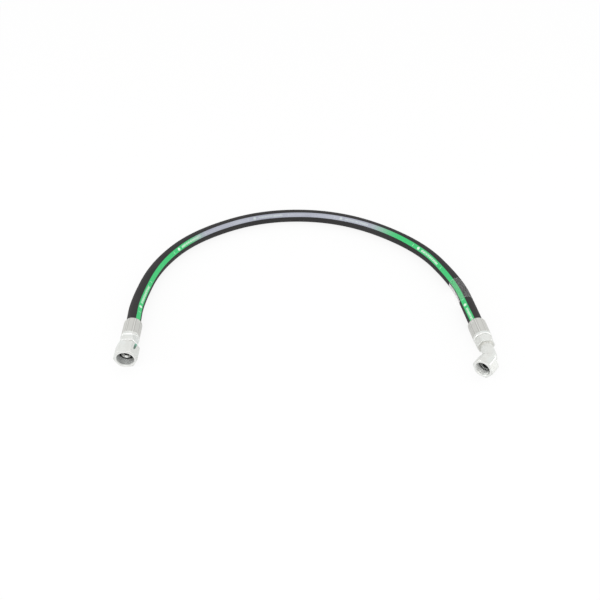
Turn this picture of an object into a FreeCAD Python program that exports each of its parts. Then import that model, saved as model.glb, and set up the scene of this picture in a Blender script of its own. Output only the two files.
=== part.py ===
"""Hydraulic hose assembly: a two-braid hose laid in a half circle, with a straight swivel fitting on the
left and a 45 degree elbow swivel fitting on the right. Millimetres, +Z up, standing on z = 0, origin on the
floor midway between the two fittings."""

import FreeCAD, Part
import math
import os

import Sketcher
from FreeCAD import Placement, Rotation, Vector

doc = FreeCAD.newDocument("hose_assembly")

# Driving sizes
SIZES = [
    # The hose, from the bore outwards
    ("hose_bore", 12.7, "bore of the hose"),
    ("tube_wall", 1.3, "wall of the inner tube"),
    ("braid_wall", 0.6, "thickness of one wire braid"),
    ("interlayer_wall", 0.25, "rubber between the braids"),
    ("cover_wall", 1.3, "wall of the cover"),
    ("tape_width", 8.5, "width of the layline round the cover"),
    ("tape_thickness", 0.12, "how far the layline stands proud"),
    ("tape_lean", 36.0, "degrees from the top to the layline's middle"),
    ("label_length", 42.0, "length of the label wrap"),
    ("label_thickness", 0.15, "thickness of the label wrap"),
    ("label_from_end", 80.0, "hose from the right cut end to the label"),
    # What both hose ends share
    ("ferrule_grip", 24.0, "hose held inside a ferrule"),
    ("ferrule_nose", 4.5, "ferrule past the hose's cut end"),
    ("ferrule_wall", 2.7, "how far a crimped ferrule stands over the hose"),
    ("mouth_wall", 1.3, "how far its hose end stands over the hose"),
    ("ferrule_lead", 3.6, "length of the rounded lead at the hose end"),
    ("ferrule_lip", 2.9, "width of the lip in the lock groove"),
    ("die_depth", 0.25, "depth of the crimping die's flats"),
    ("tooth_depth", 0.8, "depth between the ferrule's teeth"),
    ("tooth_pitch", 5.2, "spacing of the ferrule's teeth"),
    ("stem_bore", 9.0, "bore of an insert"),
    ("tail_length", 21.0, "barbed tail inside the hose"),
    ("barb_height", 0.45, "height of a barb"),
    ("barb_pitch", 3.8, "spacing of the barbs"),
    ("collar_outer", 17.6, "diameter of the lock collar"),
    ("collar_width", 1.4, "width of the lock collar"),
    ("lock_groove", 14.8, "diameter in the lock groove"),
    ("shoulder_stand", 0.3, "how far an insert's shoulder stands over the ferrule beside it"),
    ("hex_chamfer", 0.3, "how far the chamfer's circle lies inside the flats"),
    ("nose_taper", 12.0, "degrees of the cone nose to its axis"),
    ("shank_drop", 0.4, "how far a shank lies inside its thread's wall"),
    ("swivel_clearance", 0.3, "radial clearance of a swivel nut"),
    ("relief_depth", 1.0, "depth of the relief behind a thread"),
    # The straight swivel on the left
    ("left_shoulder_width", 5.0, "shoulder from the ferrule to the hexagon"),
    ("left_hex_length", 11.3, "insert hexagon along the axis"),
    ("left_hex_stand", 1.2, "how far the hexagon's flats stand over the shank"),
    ("left_nut_flats", 30.0, "nut across flats"),
    ("left_nut_length", 24.0, "nut along the axis"),
    ("left_nut_back", 27.0, "diameter of the nut's back face"),
    ("left_nut_front", 29.0, "diameter of the nut's front face"),
    ("left_nut_gap", 3.4, "from the insert hexagon to the nut"),
    ("left_thread_wall", 22.4, "diameter inside the nut's thread"),
    ("left_mouth", 25.6, "diameter of the nut's mouth"),
    ("left_wire", 2.0, "thickness of the thrust wire"),
    ("left_wire_place", 3.4, "thrust wire from the nut's back"),
    ("left_nose", 14.8, "diameter of the cone nose's front"),
    ("left_nose_length", 8.0, "length of the cone nose"),
    ("left_nose_setback", 10.0, "nose behind the nut's mouth"),
    ("left_ring_cord", 2.6, "thickness of the O-ring"),
    ("left_ring_seat", 14.2, "diameter in the O-ring's groove"),
    ("left_ring_place", 3.0, "middle of the O-ring behind the nose's front"),
    # The elbow swivel on the right
    ("right_shoulder_width", 4.0, "shoulder from the ferrule to the hexagon"),
    ("right_hex_length", 14.5, "insert hexagon along the axis"),
    ("right_hex_stand", 3.0, "how far the hexagon's flats stand over the elbow"),
    ("right_nut_flats", 27.0, "nut across flats"),
    ("right_nut_length", 20.0, "nut along the axis"),
    ("right_nut_back", 24.4, "diameter of the nut's back face"),
    ("right_nut_front", 26.0, "diameter of the nut's front face"),
    ("right_nut_gap", 0.4, "from the elbow's bend to the nut"),
    ("right_thread_wall", 20.4, "diameter inside the nut's thread"),
    ("right_mouth", 22.4, "diameter of the nut's mouth"),
    ("right_wire", 1.6, "thickness of the thrust wire"),
    ("right_wire_place", 4.2, "thrust wire from the nut's back"),
    ("right_nose", 13.4, "diameter of the cone nose's front"),
    ("right_nose_length", 5.2, "length of the cone nose"),
    ("right_nose_setback", 8.0, "nose behind the nut's mouth"),
    ("right_ring_cord", 2.0, "thickness of the O-ring"),
    ("right_ring_seat", 12.4, "diameter in the O-ring's groove"),
    ("right_ring_place", 2.8, "middle of the O-ring behind the nose's front"),
    ("elbow_outer", 18.0, "diameter of the elbow"),
    ("elbow_bore", 12.0, "bore of the elbow"),
    ("elbow_neck", 17.8, "elbow from the hexagon to its bend"),
    ("elbow_radius", 14.0, "bend radius on the elbow's axis"),
    ("elbow_angle", 45.0, "degrees of the elbow"),
    ("elbow_end", 3.0, "straight end after the bend"),
    ("socket_depth", 5.0, "elbow inside the insert hexagon"),
    ("braze_leg", 1.8, "leg of the braze fillet"),
]
sheet = doc.addObject("Spreadsheet::Sheet", "Sizes")
for row, (alias, value, note) in enumerate(SIZES, start=1):
    sheet.set(f"A{row}", note)
    sheet.set(f"B{row}", str(value))
    sheet.setAlias(f"B{row}", alias)
doc.recompute()
size = {alias: float(sheet.get(alias)) for alias, _, _ in SIZES}

# Counts
BARBS = 5
TEETH = 4
DIE_SEGMENTS = 8

# The hose's axis from the left cut end to the right one. It leaves both ferrules in line with them, comes
# down to the floor and lies there in a half circle.
ROUTE = [
    (-250.9, 23.0, 15.0),
    (-250.9, 73.0, 15.0),
    (-250.4, 124.0, 13.8),
    (-231.0, 197.0, 11.2),
    (-181.0, 265.0, 10.4),
    (-78.0, 321.0, 10.4),
    (52.0, 321.0, 10.4),
    (174.0, 252.0, 10.8),
    (233.0, 152.0, 12.4),
    (244.7, 78.0, 13.5),
    (251.5, 24.7, 13.5),
]
BEND_SHARE = 0.45

HOSE_LAYERS = [
    ("inner_tube", size["tube_wall"]),
    ("inner_wire_braid", size["braid_wall"]),
    ("interlayer", size["interlayer_wall"]),
    ("outer_wire_braid", size["braid_wall"]),
    ("outer_cover", size["cover_wall"]),
]
hose_radius = size["hose_bore"] / 2 + sum(wall for _, wall in HOSE_LAYERS)
HOSE_RADIUS = (
    "(Sizes.hose_bore / 2 + Sizes.tube_wall + 2 * Sizes.braid_wall"
    " + Sizes.interlayer_wall + Sizes.cover_wall)"
)


# Sketched bodies
def new_body(label):
    body = doc.addObject("PartDesign::Body", label)
    body.Label = label
    return body


def plane_sketch(body, role, name):
    """An empty sketch on one of the body's own origin planes."""
    plane = next(p for p in body.Origin.OriginFeatures if p.Role == role)
    sketch = body.newObject("Sketcher::SketchObject", name)
    sketch.AttachmentSupport = [(plane, "")]
    sketch.MapMode = "FlatFace"
    return sketch


def bind(sketch, kind, first, second, expression):
    """A length constraint from the origin to a point, driven by an expression."""
    index = sketch.addConstraint(Sketcher.Constraint(kind, -1, 1, first, second, 1.0))
    sketch.setExpression(f"Constraints[{index}]", expression)


def closed_outline(sketch, corners):
    """A closed outline of straight lines whose corners are pairs of expressions, "0" for on the axis."""
    count = len(corners)
    rough = [Vector(10 + k, 3 * k, 0) for k in range(count)]
    first = sketch.GeometryCount
    for k in range(count):
        sketch.addGeometry(Part.LineSegment(rough[k], rough[(k + 1) % count]))
    for k in range(count):
        following = first + (k + 1) % count
        sketch.addConstraint(Sketcher.Constraint("Coincident", first + k, 2, following, 1))
    for k, (across, along) in enumerate(corners):
        bind(sketch, "DistanceX", first + k, 1, across)
        if along == "0":
            sketch.addConstraint(Sketcher.Constraint("PointOnObject", first + k, 1, -1))
        else:
            bind(sketch, "DistanceY", first + k, 1, along)


def turned(body, corners):
    """A solid turned about the body's Z axis from an outline of (radius, height) corners."""
    sketch = plane_sketch(body, "XZ_Plane", f"{body.Label}_profile")
    closed_outline(sketch, corners)
    solid = body.newObject("PartDesign::Revolution", f"{body.Label}_turned")
    solid.Profile = sketch
    solid.ReferenceAxis = (sketch, ["V_Axis"])
    solid.Angle = 360.0
    sketch.Visibility = False
    return solid


def check_cut(body, volume):
    """The last cut must have taken material away."""
    doc.recompute()
    if not body.Shape.Volume < volume - 1.0:
        raise RuntimeError(f"{body.Label}: the last cut removed nothing")


def round_groove(body, radius, height, wire_radius):
    """A groove of round section turned into the body for a wire ring."""
    doc.recompute()
    volume = body.Shape.Volume
    sketch = plane_sketch(body, "XZ_Plane", f"{body.Label}_groove")
    circle = sketch.addGeometry(Part.Circle(Vector(12, 30, 0), Vector(0, 0, 1), 1.0))
    bind(sketch, "DistanceX", circle, 3, radius)
    bind(sketch, "DistanceY", circle, 3, height)
    index = sketch.addConstraint(Sketcher.Constraint("Radius", circle, 1.0))
    sketch.setExpression(f"Constraints[{index}]", wire_radius)
    cut = body.newObject("PartDesign::Groove", f"{body.Label}_wire_groove")
    cut.Profile = sketch
    cut.ReferenceAxis = (sketch, ["V_Axis"])
    cut.Angle = 360.0
    sketch.Visibility = False
    check_cut(body, volume)


def milled_flats(body, sides, flats, start, length):
    """Flats cut round the body between two heights, one of them facing along its Y axis."""
    doc.recompute()
    volume = body.Shape.Volume
    sketch = plane_sketch(body, "XY_Plane", f"{body.Label}_flats")
    sketch.setExpression("AttachmentOffset.Base.z", start)
    turn = 360.0 / sides
    corner = f"{flats} / 2 / cos({turn / 2} deg)"
    angles = [90.0 + turn * (k + 0.5) for k in range(sides)]
    closed_outline(sketch, [(f"{corner} * cos({a} deg)", f"{corner} * sin({a} deg)") for a in angles])
    circle = sketch.addGeometry(Part.Circle(Vector(0, 0, 0), Vector(0, 0, 1), 40.0))
    sketch.addConstraint(Sketcher.Constraint("Coincident", circle, 3, -1, 1))
    index = sketch.addConstraint(Sketcher.Constraint("Radius", circle, 40.0))
    sketch.setExpression(f"Constraints[{index}]", f"{flats}")
    cut = body.newObject("PartDesign::Pocket", f"{body.Label}_milled")
    cut.Profile = sketch
    cut.Reversed = True
    cut.setExpression("Length", length)
    sketch.Visibility = False
    check_cut(body, volume)


# Local frames of the fittings
def frame(origin, outward, sideways):
    """A placement whose local Z runs out of the hose and whose local X is sideways."""
    up = outward.cross(sideways)
    return Placement(origin, Rotation(sideways, up, outward, "ZXY"))


route = [Vector(*point) for point in ROUTE]
left_cut, right_cut = route[0], route[-1]
left_out = (route[0] - route[1]).normalize()
right_out = (route[-1] - route[-2]).normalize()
left_inward = Vector(0, 0, 1).cross(left_out).normalize()
right_inward = right_out.cross(Vector(0, 0, 1)).normalize()


def left_frame(along):
    return frame(left_cut + left_out * along, left_out, left_inward)


def right_frame(along):
    return frame(right_cut + right_out * along, right_out, right_inward)


# Heights along an insert, from the tip of its tail
TAIL = "Sizes.tail_length"
LOCK_END = f"({TAIL} + Sizes.ferrule_nose)"


def shank(side):
    """The radius of the shank that a swivel nut turns on."""
    return f"(Sizes.{side}_thread_wall / 2 - Sizes.shank_drop)"


# Half the width across the flats of each insert's hexagon
HEXAGON = {
    "left": f"({shank('left')} + Sizes.left_hex_stand)",
    "right": "(Sizes.elbow_outer / 2 + Sizes.right_hex_stand)",
}


def hexagon_span(side):
    """Where an insert's hexagon starts and ends, from the tip of its tail."""
    start = f"({LOCK_END} + Sizes.{side}_shoulder_width)"
    return start, f"({start} + Sizes.{side}_hex_length)"


def hexagon_end(side):
    """The front of an insert's hexagon, measured from the hose's cut end."""
    return size["ferrule_nose"] + size[f"{side}_shoulder_width"] + size[f"{side}_hex_length"]


def insert_outline(side):
    """The outside of an insert, from the tip of its tail to the front corner of its hexagon."""
    hex_start, hex_end = hexagon_span(side)
    bore = "Sizes.hose_bore / 2"
    root = f"({bore} - Sizes.barb_height)"
    shoulder = f"({HOSE_RADIUS} + Sizes.ferrule_wall + Sizes.shoulder_stand)"
    hex_corner = f"(2 * {HEXAGON[side]} / sqrt(3))"
    hex_face = f"({HEXAGON[side]} - Sizes.hex_chamfer)"
    corners = [(f"({root} - 0.6)", "0")]
    for k in range(BARBS):
        start = f"({k} * Sizes.barb_pitch + 0.8)"
        crest = f"({start} + 0.55 * Sizes.barb_pitch)"
        land = f"({start} + 0.85 * Sizes.barb_pitch)"
        corners += [(root, start), (bore, crest), (bore, land), (root, land)]
    chamfer = f"(({hex_corner} - {hex_face}) * tan(30 deg))"
    corners += [
        (root, TAIL),
        ("Sizes.collar_outer / 2", TAIL),
        ("Sizes.collar_outer / 2", f"{TAIL} + Sizes.collar_width"),
        ("Sizes.lock_groove / 2", f"{TAIL} + Sizes.collar_width"),
        ("Sizes.lock_groove / 2", LOCK_END),
        (f"{shoulder} - Sizes.hex_chamfer", LOCK_END),
        (shoulder, f"{LOCK_END} + Sizes.hex_chamfer"),
        (shoulder, f"{hex_start} - Sizes.hex_chamfer"),
        (f"{shoulder} - Sizes.hex_chamfer", hex_start),
        (hex_corner, hex_start),
        (hex_corner, f"{hex_end} - {chamfer}"),
        (hex_face, hex_end),
    ]
    return corners


def nose_outline(side, back, front):
    """The outside of a cone nose with its O-ring groove, from its shank at one height to its front face."""
    taper = "tan(Sizes.nose_taper * 1 deg)"
    seat = f"Sizes.{side}_ring_seat / 2"
    middle = f"({front} - Sizes.{side}_ring_place)"
    half = f"(0.62 * Sizes.{side}_ring_cord)"

    def cone(height):
        return f"(Sizes.{side}_nose / 2 + ({front} - {height}) * {taper})"

    groove_back, groove_front = f"({middle} - {half})", f"({middle} + {half})"
    return [
        (shank(side), f"{back} - 0.8"),
        (cone(back), back),
        (cone(groove_back), groove_back),
        (seat, groove_back),
        (seat, groove_front),
        (cone(groove_front), groove_front),
        (cone(f"({front} - 0.6)"), f"{front} - 0.6"),
        (f"Sizes.{side}_nose / 2 - 0.6", front),
        ("Sizes.stem_bore / 2 + 0.5", front),
        ("Sizes.stem_bore / 2", f"{front} - 0.5"),
        ("Sizes.stem_bore / 2", "0"),
    ]


def wire_radius(side):
    """The radius of the thrust wire's ring, between the shank and the nut."""
    return f"({shank(side)} + Sizes.swivel_clearance / 2)"


# Left insert: tail, hexagon, shank and nose in one piece
left_insert = new_body("left_insert")
left_hex_start, left_hex_end = hexagon_span("left")
left_nut_start = f"({left_hex_end} + Sizes.left_nut_gap)"
left_nose_front = f"({left_nut_start} + Sizes.left_nut_length - Sizes.left_nose_setback)"
left_nose_back = f"({left_nose_front} - Sizes.left_nose_length)"
turned(
    left_insert,
    insert_outline("left")
    + [(shank("left"), left_hex_end)]
    + nose_outline("left", left_nose_back, left_nose_front),
)
left_wire_height = f"{left_nut_start} + Sizes.left_wire_place"
round_groove(left_insert, wire_radius("left"), left_wire_height, "Sizes.left_wire / 2")
milled_flats(left_insert, 6, f"(2 * {HEXAGON['left']})", left_hex_start, "Sizes.left_hex_length")
left_insert.Placement = left_frame(-size["tail_length"])

# Right insert: tail and hexagon, with a socket for the elbow
right_insert = new_body("right_insert")
right_hex_start, right_hex_end = hexagon_span("right")
socket = f"({right_hex_end} - Sizes.socket_depth)"
turned(
    right_insert,
    insert_outline("right")
    + [
        ("Sizes.elbow_outer / 2", right_hex_end),
        ("Sizes.elbow_outer / 2", socket),
        ("Sizes.stem_bore / 2", socket),
        ("Sizes.stem_bore / 2", "0"),
    ],
)
milled_flats(right_insert, 6, f"(2 * {HEXAGON['right']})", right_hex_start, "Sizes.right_hex_length")
right_insert.Placement = right_frame(-size["tail_length"])


# Ferrules
def ferrule(side, place):
    """A crimped sleeve: teeth on the cover, a lip in the insert's lock groove and eight die flats."""
    body = new_body(f"{side}_ferrule")
    end = "(Sizes.ferrule_grip + Sizes.ferrule_nose)"
    outer = f"({HOSE_RADIUS} + Sizes.ferrule_wall)"
    mouth = f"({HOSE_RADIUS} + Sizes.mouth_wall)"
    lip = f"({end} - Sizes.ferrule_lip)"
    corners = [
        (mouth, "0"),
        (f"({mouth} + 2 * {outer}) / 3", "0.3 * Sizes.ferrule_lead"),
        (outer, "Sizes.ferrule_lead"),
        (outer, f"{end} - 0.9"),
        (f"{outer} - 0.35", f"{end} - 0.25"),
        (f"{outer} - 1", end),
        ("Sizes.lock_groove / 2", end),
        ("Sizes.lock_groove / 2", lip),
        (HOSE_RADIUS, lip),
    ]
    for k in reversed(range(TEETH)):
        start = f"({k} * Sizes.tooth_pitch + 1.6)"
        gap = f"({start} + 0.45 * Sizes.tooth_pitch)"
        deep = f"({HOSE_RADIUS} + Sizes.tooth_depth)"
        stop = f"({start} + 0.9 * Sizes.tooth_pitch)"
        corners += [(HOSE_RADIUS, stop), (deep, f"{stop} - 0.3"), (deep, gap), (HOSE_RADIUS, gap)]
    corners += [(HOSE_RADIUS, "1.2"), (f"{HOSE_RADIUS} + 0.6", "0")]
    turned(body, corners)
    crimped = f"{end} - Sizes.ferrule_lead - 1.5"
    flats = f"(2 * ({outer} - Sizes.die_depth))"
    milled_flats(body, DIE_SEGMENTS, flats, "Sizes.ferrule_lead", crimped)
    body.Placement = place(-size["ferrule_grip"])
    return body


ferrule("left", left_frame)
ferrule("right", right_frame)


# Swivel nuts, from the back face to the mouth
def swivel_nut(side, placement):
    """A hexagon nut whose thread ends level with the cone nose inside it."""
    body = new_body(f"{side}_swivel_nut")
    own = f"Sizes.{side}"
    length = f"{own}_nut_length"
    corner = f"({own}_nut_flats / sqrt(3))"
    bore = f"({shank(side)} + Sizes.swivel_clearance)"
    thread = f"{own}_thread_wall / 2"
    relief = f"({thread} + Sizes.relief_depth)"
    thread_start = f"({length} - {own}_nose_setback)"
    relief_start = f"({own}_wire_place + {own}_wire / 2 + 1.4)"
    turned(
        body,
        [
            (f"{own}_nut_back / 2", "0"),
            (corner, f"({corner} - {own}_nut_back / 2) * tan(30 deg)"),
            (corner, f"{length} - ({corner} - {own}_nut_front / 2) * tan(30 deg)"),
            (f"{own}_nut_front / 2", length),
            (f"{own}_mouth / 2", length),
            (thread, f"{length} - ({own}_mouth / 2 - {thread})"),
            (thread, thread_start),
            (relief, f"{thread_start} - Sizes.relief_depth"),
            (relief, f"{relief_start} + Sizes.relief_depth"),
            (bore, relief_start),
            (bore, "0"),
        ],
    )
    groove = f"{own}_wire / 2 + Sizes.swivel_clearance"
    round_groove(body, wire_radius(side), f"{own}_wire_place", groove)
    milled_flats(body, 6, f"{own}_nut_flats", "0 mm", length)
    body.Placement = placement
    return body


left_nut_back = hexagon_end("left") + size["left_nut_gap"]
swivel_nut("left", left_frame(left_nut_back))

# Right elbow: straight neck, bend and straight end, with its own frames at the bend's end
bend_turn = math.radians(size["elbow_angle"])
neck = size["socket_depth"] + size["elbow_neck"]
elbow_start = right_cut + right_out * (hexagon_end("right") - size["socket_depth"])
elbow_out = right_out * math.cos(bend_turn) + right_inward * math.sin(bend_turn)
elbow_side = right_inward * math.cos(bend_turn) - right_out * math.sin(bend_turn)
bend_end = (
    elbow_start
    + right_out * (neck + size["elbow_radius"] * math.sin(bend_turn))
    + right_inward * (size["elbow_radius"] * (1 - math.cos(bend_turn)))
)


def elbow_frame(along):
    return frame(bend_end + elbow_out * along, elbow_out, elbow_side)


elbow = new_body("right_elbow_tube")
spine = plane_sketch(elbow, "XZ_Plane", "elbow_axis")
radius, turn_end = size["elbow_radius"], Vector(math.sin(bend_turn), math.cos(bend_turn), 0)
arc_end = Vector(radius * (1 - turn_end.y), neck + radius * turn_end.x, 0)
straight = spine.addGeometry(Part.LineSegment(Vector(0, 0, 0), Vector(0, neck, 0)))
bend_circle = Part.Circle(Vector(radius, neck, 0), Vector(0, 0, 1), radius)
bend = spine.addGeometry(Part.ArcOfCircle(bend_circle, math.pi - bend_turn, math.pi))
leaving = spine.addGeometry(Part.LineSegment(arc_end, arc_end + turn_end * size["elbow_end"]))
spine.addConstraint(Sketcher.Constraint("Coincident", straight, 1, -1, 1))
spine.addConstraint(Sketcher.Constraint("PointOnObject", straight, 2, -2))
spine.addConstraint(Sketcher.Constraint("Tangent", straight, 2, bend, 2))
spine.addConstraint(Sketcher.Constraint("Tangent", bend, 1, leaving, 1))
for kind, item, value, expression in (
    ("Distance", straight, neck, "Sizes.socket_depth + Sizes.elbow_neck"),
    ("Radius", bend, radius, "Sizes.elbow_radius"),
    ("Angle", bend, bend_turn, "Sizes.elbow_angle * 1 deg"),
    ("Distance", leaving, size["elbow_end"], "Sizes.elbow_end"),
):
    index = spine.addConstraint(Sketcher.Constraint(kind, item, value))
    spine.setExpression(f"Constraints[{index}]", expression)
section = plane_sketch(elbow, "XY_Plane", "elbow_section")
for name in ("elbow_outer", "elbow_bore"):
    ring = section.addGeometry(Part.Circle(Vector(0, 0, 0), Vector(0, 0, 1), size[name] / 2))
    section.addConstraint(Sketcher.Constraint("Coincident", ring, 3, -1, 1))
    index = section.addConstraint(Sketcher.Constraint("Radius", ring, size[name] / 2))
    section.setExpression(f"Constraints[{index}]", f"Sizes.{name} / 2")
pipe = elbow.newObject("PartDesign::AdditivePipe", "elbow_pipe")
pipe.Profile = section
pipe.Spine = spine
elbow.Placement = frame(elbow_start, right_out, right_inward)

# Braze fillet between the hexagon's front face and the elbow
fillet = new_body("right_braze_fillet")
turned(
    fillet,
    [
        ("Sizes.elbow_outer / 2", "0"),
        ("Sizes.elbow_outer / 2 + Sizes.braze_leg", "0"),
        ("Sizes.elbow_outer / 2 + 0.35 * Sizes.braze_leg", "0.35 * Sizes.braze_leg"),
        ("Sizes.elbow_outer / 2", "Sizes.braze_leg"),
    ],
)
fillet.Placement = right_frame(hexagon_end("right"))

# Right cone nipple: a spigot in the elbow, the shank and the nose
nipple = new_body("right_cone_nipple")
SPIGOT = "Sizes.elbow_end"
right_nose_front = "(Sizes.right_nut_gap + Sizes.right_nut_length - Sizes.right_nose_setback)"
right_nose_back = f"({right_nose_front} - Sizes.right_nose_length)"
turned(
    nipple,
    [
        ("Sizes.elbow_bore / 2", "0"),
        ("Sizes.elbow_bore / 2", SPIGOT),
        (shank("right"), SPIGOT),
    ]
    + nose_outline("right", right_nose_back, right_nose_front),
)
right_wire_height = "Sizes.right_nut_gap + Sizes.right_wire_place"
round_groove(nipple, wire_radius("right"), right_wire_height, "Sizes.right_wire / 2")
nipple.Placement = elbow_frame(0)
swivel_nut("right", elbow_frame(size["right_nut_gap"]))


# Wire rings and O-rings
def ring(label, radius, cord, placement, turn="360 deg"):
    torus = doc.addObject("Part::Torus", label)
    torus.Label = label
    torus.setExpression("Radius1", radius)
    torus.setExpression("Radius2", cord)
    torus.setExpression("Angle3", turn)
    torus.Placement = placement
    return torus


for side, place, nut_back in (
    ("left", left_frame, left_nut_back),
    ("right", elbow_frame, size["right_nut_gap"]),
):
    wire_place = place(nut_back + size[f"{side}_wire_place"])
    ring(f"{side}_thrust_wire", wire_radius(side), f"Sizes.{side}_wire / 2", wire_place, "350 deg")
    nose_front = nut_back + size[f"{side}_nut_length"] - size[f"{side}_nose_setback"]
    cord_radius = f"Sizes.{side}_ring_cord / 2"
    seat = f"Sizes.{side}_ring_seat / 2 + {cord_radius}"
    ring(f"{side}_o_ring", seat, cord_radius, place(nose_front - size[f"{side}_ring_place"]))


# The hose and what is on it
def route_edges(points):
    """Straight runs joined by tangent arcs, and the arcs' radii."""
    edges, radii, start = [], [], points[0]
    for before, corner, after in zip(points, points[1:], points[2:]):
        into, out = corner - before, after - corner
        turn = into.getAngle(out)
        reach = BEND_SHARE * min(into.Length, out.Length)
        radii.append(reach / math.tan(turn / 2))
        into.normalize()
        out.normalize()
        first, last = corner - into * reach, corner + out * reach
        inside = (out - into).normalize()
        sagitta = radii[-1] * (1 / math.cos(turn / 2) - 1)
        edges.append(Part.LineSegment(start, first).toShape())
        edges.append(Part.Arc(first, corner + inside * sagitta, last).toShape())
        start = last
    edges.append(Part.LineSegment(start, points[-1]).toShape())
    return edges, radii


def stretch(edges, start, length):
    """The part of the route that begins a distance from its first point."""
    taken, passed = [], 0.0
    for edge in edges:
        low, high = max(start - passed, 0.0), min(start + length - passed, edge.Length)
        if high - low > 1e-6:
            first, last = edge.getParameterByLength(low), edge.getParameterByLength(high)
            taken.append(edge.Curve.toShape(first, last))
        passed += edge.Length
    return taken


def swept(edges, outline):
    """A solid swept along edges from a closed outline at their start."""
    return Part.Wire(edges).makePipeShell([outline], True, False)


def round_outline(edges, radius):
    start = edges[0].valueAt(edges[0].FirstParameter)
    tangent = edges[0].tangentAt(edges[0].FirstParameter)
    return Part.Wire([Part.makeCircle(radius, start, tangent)])


def tube(edges, outer, inner):
    return swept(edges, round_outline(edges, outer)).cut(swept(edges, round_outline(edges, inner)))


def add_solid(label, shape):
    item = doc.addObject("Part::Feature", label)
    item.Label = label
    item.Shape = shape
    return item


edges, radii = route_edges(route)
axis_length = sum(edge.Length for edge in edges)
print("bend radii", [round(r) for r in radii])
print("hose length", round(axis_length, 1))
inner = size["hose_bore"] / 2
for label, wall in HOSE_LAYERS:
    layer = add_solid(label, tube(edges, inner + wall, inner))
    expected = math.pi * ((inner + wall) ** 2 - inner**2) * axis_length
    print(label, "volume over section times length", round(layer.Shape.Volume / expected, 5))
    inner += wall


def band_outline(edges, inside, outside, middle, half):
    """A closed outline of a strip lying on the cover. Angles run from the top towards the arc's inside."""
    start = edges[0].valueAt(edges[0].FirstParameter)
    tangent = edges[0].tangentAt(edges[0].FirstParameter)
    towards = tangent.cross(Vector(0, 0, 1)).normalize()
    top = towards.cross(tangent)

    def point(radius, angle):
        return start + top * (radius * math.cos(angle)) + towards * (radius * math.sin(angle))

    low, high = middle - half, middle + half
    return Part.Wire(
        [
            Part.Arc(point(outside, low), point(outside, middle), point(outside, high)).toShape(),
            Part.LineSegment(point(outside, high), point(inside, high)).toShape(),
            Part.Arc(point(inside, high), point(inside, middle), point(inside, low)).toShape(),
            Part.LineSegment(point(inside, low), point(outside, low)).toShape(),
        ]
    )


# The layline shows between the two ferrules
showing = stretch(edges, size["ferrule_grip"], axis_length - 2 * size["ferrule_grip"])
lean = math.radians(size["tape_lean"])
half_width = size["tape_width"] / 2 / hose_radius
tape_top = hose_radius + size["tape_thickness"]
tape = swept(showing, band_outline(showing, hose_radius, tape_top, lean, half_width))
add_solid("layline_tape", tape)

# The label wraps cover and layline, so it stands clear of the cover by the layline's thickness
label_start = axis_length - size["label_from_end"] - size["label_length"]
wrapped = stretch(edges, label_start, size["label_length"])
label = tube(wrapped, tape_top + size["label_thickness"], tape_top)
add_solid("marker_label", label)

doc.recompute()

# Files: one per piece
PIECES = [
    "inner_tube",
    "inner_wire_braid",
    "interlayer",
    "outer_wire_braid",
    "outer_cover",
    "layline_tape",
    "marker_label",
    "left_ferrule",
    "left_insert",
    "left_thrust_wire",
    "left_o_ring",
    "left_swivel_nut",
    "right_ferrule",
    "right_insert",
    "right_braze_fillet",
    "right_elbow_tube",
    "right_cone_nipple",
    "right_thrust_wire",
    "right_o_ring",
    "right_swivel_nut",
]
for item in doc.Objects:
    if {"Invalid", "Error"} & set(item.State):
        raise RuntimeError(f"{item.Label} is {item.State}")
os.makedirs("parts", exist_ok=True)
for label in PIECES:
    shape = doc.getObjectsByLabel(label)[0].Shape
    if shape.isNull() or not shape.isValid() or not shape.Solids:
        raise RuntimeError(f"{label} has no valid solid")
    box = shape.optimalBoundingBox()
    corners = [round(value, 2) for value in (box.XMin, box.XMax, box.YMin, box.YMax, box.ZMin, box.ZMax)]
    print(label, len(shape.Solids), "solid,", round(shape.Volume), "mm3, corners", corners)
    shape.exportStep(f"parts/{label}.step")
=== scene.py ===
# %% [markdown]
# # A hydraulic hose assembly, dressed in Blender
# The solids of the hose, its ferrules, inserts, elbow and swivel nuts come packed as a fixed frame.
# This lesson dresses them: the camera and the hose's line, then each piece, then the finishes and
# the light. Lengths are in metres, and turned fittings are drawn in millimetres.

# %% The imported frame
import math
from bisect import bisect_left

import bpy
from mathutils import Matrix, Vector


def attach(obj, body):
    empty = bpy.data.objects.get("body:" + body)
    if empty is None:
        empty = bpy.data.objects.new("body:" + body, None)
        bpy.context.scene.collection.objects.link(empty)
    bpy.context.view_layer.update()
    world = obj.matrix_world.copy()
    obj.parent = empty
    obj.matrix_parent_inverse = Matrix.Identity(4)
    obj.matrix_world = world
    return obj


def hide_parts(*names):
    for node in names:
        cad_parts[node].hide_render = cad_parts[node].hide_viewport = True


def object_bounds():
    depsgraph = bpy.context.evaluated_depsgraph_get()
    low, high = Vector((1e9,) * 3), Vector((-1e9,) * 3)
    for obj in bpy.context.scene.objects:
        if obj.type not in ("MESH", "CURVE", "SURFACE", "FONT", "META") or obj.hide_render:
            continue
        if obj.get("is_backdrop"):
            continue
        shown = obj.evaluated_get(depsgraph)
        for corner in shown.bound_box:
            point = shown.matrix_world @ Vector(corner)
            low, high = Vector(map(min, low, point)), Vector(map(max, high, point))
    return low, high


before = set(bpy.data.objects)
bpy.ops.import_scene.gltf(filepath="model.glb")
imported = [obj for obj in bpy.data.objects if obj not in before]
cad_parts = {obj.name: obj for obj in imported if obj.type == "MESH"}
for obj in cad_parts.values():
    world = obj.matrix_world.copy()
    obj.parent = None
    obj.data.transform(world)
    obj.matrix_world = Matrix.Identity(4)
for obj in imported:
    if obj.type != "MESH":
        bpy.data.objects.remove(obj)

MM = 0.001
cad_box = [list(corner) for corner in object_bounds()]


def rounded(rows, digits=4):
    """Rows of numbers, short enough to print."""
    return [[round(value, digits) for value in row] for row in rows]


print("CAD box, metres:", rounded(cad_box))

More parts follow.
